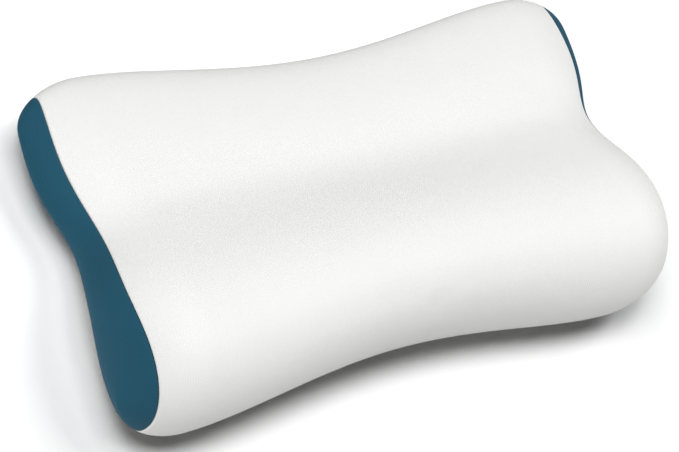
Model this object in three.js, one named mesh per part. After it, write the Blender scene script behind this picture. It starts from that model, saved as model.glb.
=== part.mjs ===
// A contour pillow for the neck: a white sleeve filled with one shaped foam core, closed at
// each end by a teal panel sewn into it. A thick lobe and a thin one run its whole length,
// with a valley between them. The thick lobe goes under the neck, the thin one under the head.
// Millimetres. +X runs along the pillow, the thick lobe faces -Y, and +Z is up.
// The origin lies under the middle of the pillow, on the surface that it rests on.

import * as THREE from 'three';
import { mergeVertices } from 'three/addons/utils/BufferGeometryUtils.js';

// Overall sizes
const LENGTH = 600;
const DEPTH = 307;              // front to back over the full lobes near the ends
const WAIST = 20.6;             // how far each long side draws in at mid length
const WAIST_SHARPNESS = 1.95;   // 1 is a parabola, and more keeps the waist to the middle

// Cross-section. A place across it runs from -1 at the front tip to 1 at the back tip, and
// heights are measured from the line through the two tips.
const FRONT_BLUNTNESS = 2.17;   // 2 is an ellipse, and more fills its corners
const BACK_BLUNTNESS = 2.75;
const TOP_HEIGHT = 29;
const FRONT_LOBE = { at: -0.85, rise: 82, width: 0.83 };
const VALLEY = { at: 0.19, rise: -9, width: 0.26 };
const UNDERSIDE_DEPTH = 47;
const UNDERSIDE_SLOPE = 16.2;   // how much deeper the front tip is than the middle
const UNDERSIDE_ARCH = { at: -0.28, rise: 29.4, width: 0.385 };
const FLATTENING = 2.5;         // how much the foam flattens where it lies on the surface

// Rounded ends. Each closes on a line along its middle.
const END_DOME = 63.5;          // how far an end's rounding runs along the pillow
const END_INSET = 40.3;         // how far an end closes in from the front and back tips
const END_SQUARENESS = 1.92;    // 2 is a round end, and less is a more pointed one
const END_VALLEY = { at: 0.138, rise: 15.6, width: 0.334 };
const CLOSING_SHARE = 0.8;      // 1 puts the closing line midway between top and underside

// Sewn end panels. The seam lies this share of the way out from an end's middle to its rim.
const SEAM_REACH = 0.586;
const SEAM_EXTRA_AT_TIPS = 0.169;
const PANEL_THICKNESS = 2.5;    // along the pillow, so about 2 across the sloping cloth
const PANEL_GAP = 0.4;

// Steps of the faceted surface
const AROUND = 60;
const ALONG = 14;
const DOME_STEPS = 6;
const PANEL_STEPS = 6;
const SAME_POINT = 1e-4;        // points closer than this are one

const WHITE_KNIT = { color: 0xf5f5f3, roughness: 0.9, metalness: 0 };
const TEAL_KNIT = { color: 0x235469, roughness: 0.9, metalness: 0 };

const LEFT = -1;
const RIGHT = 1;

function swell(shape, across) {
  return shape.rise * Math.exp(-(((across - shape.at) / shape.width) ** 2));
}

// A point of the skin. along runs from -1 to 1 between the two rounded ends. angle goes round
// the section: 0 is the back tip, a quarter turn the top. reach is 1 from one end's rim to the
// other's, and falls to 0 on the line where an end closes.
function skinPoint(along, angle, reach) {
  const across = Math.cos(angle);
  const bluntness = across < 0 ? FRONT_BLUNTNESS : BACK_BLUNTNESS;
  const fullness = (1 - Math.abs(across) ** bluntness) ** (1 / bluntness);
  const height = TOP_HEIGHT + swell(FRONT_LOBE, across) + swell(VALLEY, across);
  const depth = UNDERSIDE_DEPTH - UNDERSIDE_SLOPE * across - swell(UNDERSIDE_ARCH, across);
  const skin = fullness * (Math.sin(angle) > 0 ? height : -depth);
  const middle = (CLOSING_SHARE * (height - depth)) / 2;

  const waist = WAIST * (1 - along ** 2) ** WAIST_SHARPNESS;
  const halfDepth = DEPTH / 2 - waist - END_INSET * (1 - reach);
  const halfLength = LENGTH / 2 - END_DOME - swell(END_VALLEY, across);
  const dome = END_DOME * (1 - reach ** END_SQUARENESS) ** (1 / END_SQUARENESS);
  return new THREE.Vector3(
    along * halfLength + Math.sign(along) * dome,
    across * halfDepth,
    middle + reach * (skin - middle),
  );
}

const angles = Array.from({ length: AROUND }, (_, step) => (step / AROUND) * 2 * Math.PI);
const lowest = Math.min(...angles.map((angle) => skinPoint(0, angle, 1).z));
const surfaceHeight = lowest + FLATTENING;

// A closed ring of points round the pillow. reachAt gives each angle's reach, and inset moves
// the ring along the pillow, in towards its middle.
function ring(along, reachAt, inset = 0) {
  return angles.map((angle) => {
    const point = skinPoint(along, angle, reachAt(angle));
    point.x -= Math.sign(along) * inset;
    point.z = Math.max(point.z - surfaceHeight, 0);
    return point;
  });
}

// The reach of the seam, moved outwards by gap as seen from the pillow's end.
function seamReach(angle, gap = 0) {
  const reach = SEAM_REACH + SEAM_EXTRA_AT_TIPS * Math.cos(angle) ** 2;
  const small = 0.01;
  const outwards = skinPoint(RIGHT, angle, reach + small).sub(skinPoint(RIGHT, angle, reach - small));
  const alongSeam = skinPoint(RIGHT, angle + small, reach).sub(skinPoint(RIGHT, angle - small, reach));
  const squareOut = outwards.setX(0).projectOnPlane(alongSeam.setX(0).normalize());
  return reach + (gap * 2 * small) / squareOut.length();
}

// Rings over an end panel's place, from the line where the end closes out to its rim.
function panelRings(side, gap, inset) {
  const shares = Array.from({ length: PANEL_STEPS + 1 }, (_, step) => step / PANEL_STEPS);
  return shares.map((share) => ring(side, (angle) => share * seamReach(angle, gap), inset));
}

// Rings over the rounded end from the seam out to its rim, evenly spaced round its curve.
function domeRings(side) {
  const half = END_SQUARENESS / 2;
  const shares = Array.from({ length: DOME_STEPS }, (_, step) => 1 - step / DOME_STEPS);
  return shares.map((share) =>
    ring(side, (angle) => {
      const turnAtSeam = Math.acos(seamReach(angle, PANEL_GAP) ** half);
      return Math.cos(share * turnAtSeam) ** (1 / half);
    }),
  );
}

function middleRings() {
  const turns = Array.from({ length: ALONG + 1 }, (_, step) => (step / ALONG - 0.5) * Math.PI);
  return turns.map((turn) => ring(Math.sin(turn), () => 1));
}

// One closed skin through the rings, in order along +X over the outside of the solid. The
// first and last rings are folded flat, so merging their equal points closes both ends. Each
// four-cornered patch is split along its shorter diagonal.
function solidThrough(rings) {
  const points = rings.flat();
  const corners = [];
  for (let row = 0; row < rings.length - 1; row += 1) {
    for (let step = 0; step < AROUND; step += 1) {
      const a = row * AROUND + step;
      const b = row * AROUND + ((step + 1) % AROUND);
      const c = b + AROUND;
      const d = a + AROUND;
      if (points[a].distanceTo(points[c]) < points[b].distanceTo(points[d])) {
        corners.push(a, b, c, a, c, d);
      } else {
        corners.push(a, b, d, b, c, d);
      }
    }
  }
  const geometry = new THREE.BufferGeometry().setFromPoints(points).setIndex(corners);
  const closed = mergeVertices(geometry, SAME_POINT);
  closed.computeVertexNormals();
  return closed;
}

function coverGeometry() {
  const pocket = PANEL_THICKNESS + PANEL_GAP;
  return solidThrough([
    ...panelRings(LEFT, PANEL_GAP, pocket),
    ...domeRings(LEFT),
    ...middleRings(),
    ...domeRings(RIGHT).reverse(),
    ...panelRings(RIGHT, PANEL_GAP, pocket).reverse(),
  ]);
}

function panelGeometry(side) {
  const outside = panelRings(side, 0, 0);
  const inside = panelRings(side, 0, PANEL_THICKNESS);
  const rings = side === LEFT ? [...outside, ...inside.reverse()] : [...inside, ...outside.reverse()];
  return solidThrough(rings);
}

function piece(name, geometry, finish) {
  const mesh = new THREE.Mesh(geometry, new THREE.MeshStandardMaterial(finish));
  mesh.name = name;
  return mesh;
}

const pillow = new THREE.Group();
pillow.add(piece('cover', coverGeometry(), WHITE_KNIT));
pillow.add(piece('end_panel_left', panelGeometry(LEFT), TEAL_KNIT));
pillow.add(piece('end_panel_right', panelGeometry(RIGHT), TEAL_KNIT));

export default pillow;
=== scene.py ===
import math

import bmesh
import bpy
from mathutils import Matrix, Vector


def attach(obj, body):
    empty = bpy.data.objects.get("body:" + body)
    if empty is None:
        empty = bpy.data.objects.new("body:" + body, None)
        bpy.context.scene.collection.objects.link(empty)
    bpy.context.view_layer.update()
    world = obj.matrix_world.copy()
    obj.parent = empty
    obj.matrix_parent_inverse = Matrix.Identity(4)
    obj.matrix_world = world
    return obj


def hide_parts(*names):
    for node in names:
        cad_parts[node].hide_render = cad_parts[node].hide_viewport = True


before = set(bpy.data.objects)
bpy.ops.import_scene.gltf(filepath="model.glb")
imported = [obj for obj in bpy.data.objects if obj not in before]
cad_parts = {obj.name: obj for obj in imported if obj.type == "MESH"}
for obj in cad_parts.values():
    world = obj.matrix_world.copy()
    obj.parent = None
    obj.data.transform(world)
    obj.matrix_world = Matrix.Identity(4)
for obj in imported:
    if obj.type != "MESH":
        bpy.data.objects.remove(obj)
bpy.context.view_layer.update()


# White sleeve. The real one is a fine white knit, sewn to a tube and drawn tight over one block
# of soft foam, cut thick for the neck and thin for the head, so no wrinkle shows. It starts as
# a tube that follows the foam, and a cloth simulation then presses it out a little.
MM = 0.001
LENGTH = 600 * MM
DEPTH = 307 * MM
WAIST = 20.6 * MM
WAIST_SHARPNESS = 1.95
FRONT_BLUNTNESS = 2.17
BACK_BLUNTNESS = 2.75
TOP_HEIGHT = 29 * MM
FRONT_LOBE = {"at": -0.85, "rise": 82 * MM, "width": 0.83}
VALLEY = {"at": 0.19, "rise": -9 * MM, "width": 0.26}
UNDERSIDE_DEPTH = 47 * MM
UNDERSIDE_SLOPE = 16.2 * MM
UNDERSIDE_ARCH = {"at": -0.28, "rise": 29.4 * MM, "width": 0.385}
FLATTENING = 2.5 * MM
SOFT_CONTACT = 1.5 * MM
END_DOME = 63.5 * MM
END_INSET = 40.3 * MM
END_SQUARENESS = 1.92
END_VALLEY = {"at": 0.138, "rise": 15.6 * MM, "width": 0.334}
CLOSING_SHARE = 0.8
SEAM_REACH = 0.586
SEAM_EXTRA_AT_TIPS = 0.169
EDGE_ROUND = 1.5 * MM
EDGE_TURNS = (90, 60, 30, 0)
EDGE_GAP = 0.1 * MM
EDGE_CLEARANCE = 3 * EDGE_ROUND
POCKET_DEPTH = 3.2 * MM
LEFT, RIGHT = -1, 1

AROUND = 120
MIDDLE_ROWS = 64
DOME_ROWS = 12
DOME_CROWDING = 1.15
RIM_REACH = 0.999
HIDDEN_SHARES = [0, 0.25, 0.5, 0.75, 0.93]
SEWN_ROWS = 10
SAME_POINT = 0.01 * MM
CLOTH_WEIGHT = 0.3
STRETCH_STIFFNESS = 40
SHEAR_STIFFNESS = 5
BENDING_STIFFNESS = 0.5
FOAM_PRESSURE = 0.6
CLOTH_FRAMES = 20
STEPS_PER_FRAME = 6
SWELLING = 1.2 * MM
DRAWING_IN = 0.3 * MM
FOOT_HEIGHT = 2 * MM
ANGLES = [2 * math.pi * step / AROUND for step in range(AROUND)]


def swell(shape, across):
    return shape["rise"] * math.exp(-(((across - shape["at"]) / shape["width"]) ** 2))


def skin_point(along, angle, reach):
    """A point of the foam's skin. along runs between the ends, angle goes round the section from
    the back tip over the top, and reach falls from 1 at an end's rim to 0 at its middle."""
    across = math.cos(angle)
    bluntness = FRONT_BLUNTNESS if across < 0 else BACK_BLUNTNESS
    fullness = (1 - min(abs(across), 1) ** bluntness) ** (1 / bluntness)
    height = TOP_HEIGHT + swell(FRONT_LOBE, across) + swell(VALLEY, across)
    depth = UNDERSIDE_DEPTH - UNDERSIDE_SLOPE * across - swell(UNDERSIDE_ARCH, across)
    skin = fullness * (height if math.sin(angle) > 0 else -depth)
    middle = CLOSING_SHARE * (height - depth) / 2
    waist = WAIST * max(1 - along**2, 0) ** WAIST_SHARPNESS
    half_depth = DEPTH / 2 - waist - END_INSET * (1 - reach)
    half_length = LENGTH / 2 - END_DOME - swell(END_VALLEY, across)
    dome = END_DOME * max(1 - reach**END_SQUARENESS, 0) ** (1 / END_SQUARENESS)
    return Vector((
        along * half_length + math.copysign(dome, along),
        across * half_depth,
        middle + reach * (skin - middle),
    ))


lowest = min(skin_point(0, angle, 1).z for angle in ANGLES)
surface_height = lowest + FLATTENING


def lay_down(point):
    """Sets a point on the surface that the pillow rests on, with the foam pressed flat there."""
    above = point.z - surface_height
    if above < SOFT_CONTACT:
        above = max(above + SOFT_CONTACT, 0) ** 2 / (4 * SOFT_CONTACT)
    return Vector((point.x, point.y, above))


def seam_frame(side, angle):
    """The seam's reach at this angle, how much reach a metre out from it adds, and the way out of
    the skin there."""
    reach = SEAM_REACH + SEAM_EXTRA_AT_TIPS * math.cos(angle) ** 2
    small = 0.01
    outwards = skin_point(side, angle, reach + small) - skin_point(side, angle, reach - small)
    ahead = skin_point(side, angle + small, reach) - skin_point(side, angle - small, reach)
    square = outwards - outwards.project(ahead)
    normal = ahead.cross(square).normalized()
    if normal.x * side < 0:
        normal = -normal
    return reach, 2 * small / square.length, normal


def near_seam(side, away, drop):
    """A ring at a distance away from the seam, positive out to the rim, sunk below the skin."""
    ring = []
    for angle in ANGLES:
        reach, per_metre, normal = seam_frame(side, angle)
        ring.append(lay_down(skin_point(side, angle, reach + away * per_metre) - normal * drop))
    return ring


def turned_edge(side, way):
    """Rings round an edge that turns in to the seam, from flat on the skin down into the seam."""
    rings = []
    for turn in EDGE_TURNS:
        slant = math.radians(turn)
        away = EDGE_GAP + EDGE_ROUND * (1 - math.cos(slant))
        rings.append(near_seam(side, way * away, EDGE_ROUND * (1 - math.sin(slant))))
    return rings


def dome_rings(side):
    """Rings over a rounded end, from the seam's edge out to the rim."""
    half = END_SQUARENESS / 2
    rings = []
    for row in range(DOME_ROWS):
        share = (1 - row / DOME_ROWS) ** DOME_CROWDING
        ring = []
        for angle in ANGLES:
            reach, per_metre, _ = seam_frame(side, angle)
            start = min(reach + EDGE_CLEARANCE * per_metre, RIM_REACH)
            turn = share * math.acos(start**half)
            ring.append(lay_down(skin_point(side, angle, math.cos(turn) ** (1 / half))))
        rings.append(ring)
    return rings


def panel_rings(side, inset, shares):
    """Rings over the middle of an end, from the line where it closes out towards the seam."""
    rings = []
    for share in shares:
        ring = []
        for angle in ANGLES:
            reach, _, _ = seam_frame(side, angle)
            point = skin_point(side, angle, share * reach)
            point.x -= side * inset
            ring.append(lay_down(point))
        rings.append(ring)
    return rings


def skin_through(name, rings, uv_of):
    """A closed skin through the rings. It starts as a plain tube, cut into as many rows."""
    mesh = bmesh.new()
    bmesh.ops.create_cone(mesh, cap_ends=False, segments=AROUND, radius1=1, radius2=1, depth=2)
    long_edges = [edge for edge in mesh.edges if abs(edge.verts[0].co.z - edge.verts[1].co.z) > 1]
    bmesh.ops.subdivide_edges(mesh, edges=long_edges, cuts=len(rings) - 2)
    uv = mesh.loops.layers.uv.new("knit")
    row_of = mesh.verts.layers.int.new("row")
    place = {}
    for vert in mesh.verts:
        step = round(math.atan2(vert.co.y, vert.co.x) / (2 * math.pi) * AROUND) % AROUND
        place[vert] = (round((vert.co.z + 1) / 2 * (len(rings) - 1)), step)
    for face in mesh.faces:
        steps = [place[loop.vert][1] for loop in face.loops]
        for loop in face.loops:
            row, step = place[loop.vert]
            if step == 0 and max(steps) > 1:
                step = AROUND
            loop[uv].uv = uv_of(row, step)
    for vert, (row, step) in place.items():
        vert.co = rings[row][step]
        vert[row_of] = row
    bmesh.ops.remove_doubles(mesh, verts=mesh.verts, dist=SAME_POINT)
    bmesh.ops.recalc_face_normals(mesh, faces=mesh.faces)
    for face in mesh.faces:
        face.smooth = True
    data = bpy.data.meshes.new(name)
    mesh.to_mesh(data)
    mesh.free()
    piece = bpy.data.objects.new(name, data)
    bpy.context.scene.collection.objects.link(piece)
    return piece


def sleeve_end(side):
    """Rings of one end of the sleeve, from under the end panel out to the rim."""
    pocket = panel_rings(side, POCKET_DEPTH, HIDDEN_SHARES)
    lip = [near_seam(side, EDGE_GAP, POCKET_DEPTH)]
    return pocket + lip + turned_edge(side, 1)[::-1] + dome_rings(side)


def middle_rings():
    rings = []
    for row in range(MIDDLE_ROWS + 1):
        along = 2 * row / MIDDLE_ROWS - 1
        rings.append([lay_down(skin_point(along, angle, 1)) for angle in ANGLES])
    return rings


sleeve_rings = sleeve_end(LEFT) + middle_rings() + sleeve_end(RIGHT)[::-1]
middle_ring = sleeve_rings[len(sleeve_rings) // 2]
round_sleeve = [0.0]
for here, there in zip(middle_ring, middle_ring[1:] + middle_ring[:1]):
    round_sleeve.append(round_sleeve[-1] + (there - here).length)
along_sleeve = [0.0]
top_step = AROUND // 4
for here, there in zip(sleeve_rings, sleeve_rings[1:]):
    along_sleeve.append(along_sleeve[-1] + (there[top_step] - here[top_step]).length)


def sleeve_uv(row, step):
    return round_sleeve[step], along_sleeve[row]


def press_out(piece, sewn_rows, last_row):
    """Lets the foam press the cloth out, in a cloth simulation. The rows at both ends stay sewn
    down and the foot stays where it lies. Foam holds its shape, so the cloth keeps at most
    SWELLING of its way out and DRAWING_IN of its way in."""
    data = piece.data
    held = piece.vertex_groups.new(name="held")
    rows = data.attributes["row"].data
    for vert, row in zip(data.vertices, rows):
        if not sewn_rows <= row.value <= last_row - sewn_rows or vert.co.z < FOOT_HEIGHT:
            held.add([vert.index], 1, "REPLACE")
    pressed = piece.modifiers.new("pressed", "CLOTH")
    pressed.settings.quality = STEPS_PER_FRAME
    pressed.settings.mass = CLOTH_WEIGHT
    pressed.settings.tension_stiffness = STRETCH_STIFFNESS
    pressed.settings.compression_stiffness = STRETCH_STIFFNESS
    pressed.settings.shear_stiffness = SHEAR_STIFFNESS
    pressed.settings.bending_stiffness = BENDING_STIFFNESS
    pressed.settings.use_pressure = True
    pressed.settings.uniform_pressure_force = FOAM_PRESSURE
    pressed.settings.vertex_group_mass = held.name
    pressed.settings.effector_weights.gravity = 0
    pressed.collision_settings.use_collision = False
    pressed.point_cache.frame_start = 1
    pressed.point_cache.frame_end = CLOTH_FRAMES
    for number in range(1, CLOTH_FRAMES + 1):
        bpy.context.scene.frame_set(number)
    after = piece.evaluated_get(bpy.context.evaluated_depsgraph_get()).data
    shifts = [there.co - here.co for here, there in zip(data.vertices, after.vertices)]
    normals = [vert.normal.copy() for vert in data.vertices]
    piece.modifiers.remove(pressed)
    piece.vertex_groups.remove(held)
    bpy.context.scene.frame_set(1)
    for vert, shift, normal in zip(data.vertices, shifts, normals):
        outwards = shift.dot(normal)
        most = SWELLING if outwards > 0 else DRAWING_IN
        vert.co += normal * outwards * most / (most + abs(outwards))
    data.update()


def smooth(piece):
    finer = piece.modifiers.new("finer", "SUBSURF")
    finer.levels = finer.render_levels = 1


sleeve = skin_through("white_sleeve", sleeve_rings, sleeve_uv)
press_out(sleeve, SEWN_ROWS, len(sleeve_rings) - 1)
smooth(sleeve)


def linear(colour):
    """The linear value of an sRGB hex colour."""
    parts = [int(colour[place:place + 2], 16) / 255 for place in (1, 3, 5)]
    return [p / 12.92 if p <= 0.04045 else ((p + 0.055) / 1.055) ** 2.4 for p in parts] + [1]


def add(tree, kind, inputs=None, **settings):
    """Adds a node with its settings. An input is a value, a socket, or a node, which gives its
    first output."""
    node = tree.nodes.new(kind)
    for name, value in settings.items():
        setattr(node, name, value)
    for socket, value in (inputs or {}).items():
        if isinstance(value, bpy.types.Node):
            value = value.outputs[0]
        if isinstance(value, bpy.types.NodeSocket):
            tree.links.new(value, node.inputs[socket])
        else:
            node.inputs[socket].default_value = value
    return node


# Real jersey of this kind has stitches about 1 by 0.8 mm, too fine to show from where the
# pillow is seen. They are drawn three times as large.
WALE = 3 * MM
COURSE = 2.4 * MM
STITCH_SLANT = 1.1
STITCH_HEIGHT = 0.3 * MM
FIBRE_SHARE = 0.2
SHEEN = 0.02


def jersey(name, colour, worn):
    """A fine cotton jersey, knitted in columns of small V stitches, matt, with a faint fuzz of
    loose fibres. The sheen is what they add at a glancing angle."""
    material = bpy.data.materials.new(name)
    material.use_nodes = True
    tree = material.node_tree
    tree.nodes.clear()
    uv = add(tree, "ShaderNodeUVMap", uv_map="knit")
    place = add(tree, "ShaderNodeSeparateXYZ", {"Vector": uv.outputs["UV"]})

    column = add(tree, "ShaderNodeMath", {0: place.outputs["X"], 1: WALE}, operation="DIVIDE")
    leg = add(tree, "ShaderNodeMath", {0: column, 1: 0.5}, operation="PINGPONG")
    row = add(tree, "ShaderNodeMath", {0: place.outputs["Y"], 1: COURSE}, operation="DIVIDE")
    slanted = add(
        tree,
        "ShaderNodeMath",
        {0: leg, 1: STITCH_SLANT, 2: row},
        operation="MULTIPLY_ADD",
    )
    turn = add(tree, "ShaderNodeMath", {0: slanted, 1: 2 * math.pi}, operation="MULTIPLY")
    loop = add(tree, "ShaderNodeMath", {0: turn}, operation="COSINE")
    across_leg = add(tree, "ShaderNodeMath", {0: leg, 1: 2 * math.pi}, operation="MULTIPLY")
    yarn = add(tree, "ShaderNodeMath", {0: across_leg}, operation="SINE")
    raised = add(tree, "ShaderNodeMath", {0: loop, 1: 0.5, 2: 0.5}, operation="MULTIPLY_ADD")
    stitch = add(tree, "ShaderNodeMath", {0: raised, 1: yarn}, operation="MULTIPLY")
    where = add(tree, "ShaderNodeTexCoord").outputs["Object"]
    fibre = add(tree, "ShaderNodeTexNoise", {"Vector": where, "Scale": 900, "Detail": 2})
    lofted = add(
        tree,
        "ShaderNodeMath",
        {0: fibre, 1: FIBRE_SHARE, 2: stitch},
        operation="MULTIPLY_ADD",
    )
    bump = add(
        tree,
        "ShaderNodeBump",
        {"Height": lofted, "Distance": STITCH_HEIGHT, "Strength": 0.35},
    )
    patches = add(tree, "ShaderNodeTexNoise", {"Vector": where, "Scale": 22, "Detail": 4})
    tint = add(
        tree,
        "ShaderNodeMix",
        {"Factor": patches.outputs["Fac"], "A": linear(colour), "B": linear(worn)},
        data_type="RGBA",
    )
    cloth = add(
        tree,
        "ShaderNodeBsdfPrincipled",
        {
            "Base Color": tint.outputs[2],
            "Roughness": 0.9,
            "Specular IOR Level": 0.2,
            "Sheen Weight": SHEEN,
            "Sheen Roughness": 0.5,
            "Normal": bump,
        },
    )
    add(tree, "ShaderNodeOutputMaterial", {"Surface": cloth})
    return material


sleeve.data.materials.append(jersey("white_cotton_jersey", "#EAEAE8", "#E7E7E5"))
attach(sleeve, "root")
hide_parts("cover")


# End panels. Each is one piece of teal knit, cut to the outline of the pillow's end, sewn into
# the sleeve from inside and turned out, and stretched over the foam behind it. Both edges turn
# in at the seam, so it is a narrow soft groove.
PANEL_ROWS = 8
PANEL_THICKNESS = 2.2 * MM


def panel_of(side):
    shares = [row / PANEL_ROWS for row in range(PANEL_ROWS)]
    outside = panel_rings(side, 0, shares) + turned_edge(side, -1)
    lip = [near_seam(side, -EDGE_GAP, PANEL_THICKNESS)]
    inside = panel_rings(side, PANEL_THICKNESS, HIDDEN_SHARES[::-1])
    rings = outside + lip + inside

    def panel_uv(row, step):
        point = rings[row][step % AROUND]
        return point.y, point.z

    name = "left" if side == LEFT else "right"
    panel = skin_through(f"teal_end_panel_{name}", rings, panel_uv)
    smooth(panel)
    panel.data.materials.append(teal)
    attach(panel, "root")
    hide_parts(f"end_panel_{name}")
    return panel


teal = jersey("teal_cotton_jersey", "#1F5267", "#1D4E62")
panels = [panel_of(side) for side in (LEFT, RIGHT)]


# Studio: a plain white floor, soft light from both ends and the front, and a long lens that
# looks down from the left end.
FLOOR_DROP = 0.3 * MM
FLOOR_HALF_WIDTH = 12
mesh = bmesh.new()
bmesh.ops.create_grid(mesh, x_segments=1, y_segments=1, size=FLOOR_HALF_WIDTH)
bmesh.ops.translate(mesh, verts=mesh.verts, vec=(0, 0, -FLOOR_DROP))
floor_data = bpy.data.meshes.new("floor")
mesh.to_mesh(floor_data)
mesh.free()
floor = bpy.data.objects.new("floor", floor_data)
bpy.context.scene.collection.objects.link(floor)
white_paint = bpy.data.materials.new("white_studio_paint")
white_paint.use_nodes = True
white_paint.node_tree.nodes.clear()
paint = add(white_paint.node_tree, "ShaderNodeBsdfDiffuse", {"Color": linear("#EDEDED")})
add(white_paint.node_tree, "ShaderNodeOutputMaterial", {"Surface": paint})
floor.data.materials.append(white_paint)

world = bpy.data.worlds.new("studio")
world.use_nodes = True
world.node_tree.nodes.clear()
dark = add(world.node_tree, "ShaderNodeBackground", {"Color": (0, 0, 0, 1)})
add(world.node_tree, "ShaderNodeOutputWorld", {"Surface": dark})
bpy.context.scene.world = world

# Every softbox is turned to the pillow. Three stand near, light the pillow and are flagged off
# the floor. Three stand far off behind it and light the floor alone, so the floor is evenly
# white and the pillow's shadow falls to the front.
pieces = bpy.data.collections.new("pieces")
ground = bpy.data.collections.new("ground")
ground.objects.link(floor)
for piece in (sleeve, *panels):
    pieces.objects.link(piece)
NEAR = {"away": 3, "size": 1.6, "lights": pieces}
FAR = {"away": 9, "size": 3, "lights": ground}
SOFTBOXES = {
    "left": {"azimuth": 180, "height": 40, "watts": 57, **NEAR},
    "right": {"azimuth": 0, "height": 65, "watts": 70, **NEAR},
    "front": {"azimuth": 270, "height": 65, "watts": 9, **NEAR},
    "floor_left": {"azimuth": 150, "height": 60, "watts": 580, **FAR},
    "floor_right": {"azimuth": 30, "height": 60, "watts": 280, **FAR},
    "floor_back": {"azimuth": 120, "height": 75, "watts": 270, **FAR},
}
for name, box in SOFTBOXES.items():
    lamp = bpy.data.lights.new(name, "AREA")
    lamp.size = box["size"]
    lamp.energy = box["watts"]
    holder = bpy.data.objects.new(name, lamp)
    turned, up = math.radians(box["azimuth"]), math.radians(box["height"])
    flat = math.cos(up)
    way = Vector((flat * math.cos(turned), flat * math.sin(turned), math.sin(up)))
    holder.location = box["away"] * way
    holder.rotation_euler = way.to_track_quat("Z", "Y").to_euler()
    holder.light_linking.receiver_collection = box["lights"]
    bpy.context.scene.collection.objects.link(holder)

camera = bpy.data.objects.new("camera", bpy.data.cameras.new("camera"))
camera.location = (-1.39078, -0.31583, 1.87849)
camera.rotation_euler = [math.radians(turn) for turn in (19.922, -32.128, -21.965)]
camera.data.sensor_width = 36
camera.data.lens = 142.07
bpy.context.scene.collection.objects.link(camera)
bpy.context.scene.camera = camera
bpy.context.scene.view_settings.view_transform = "Standard"
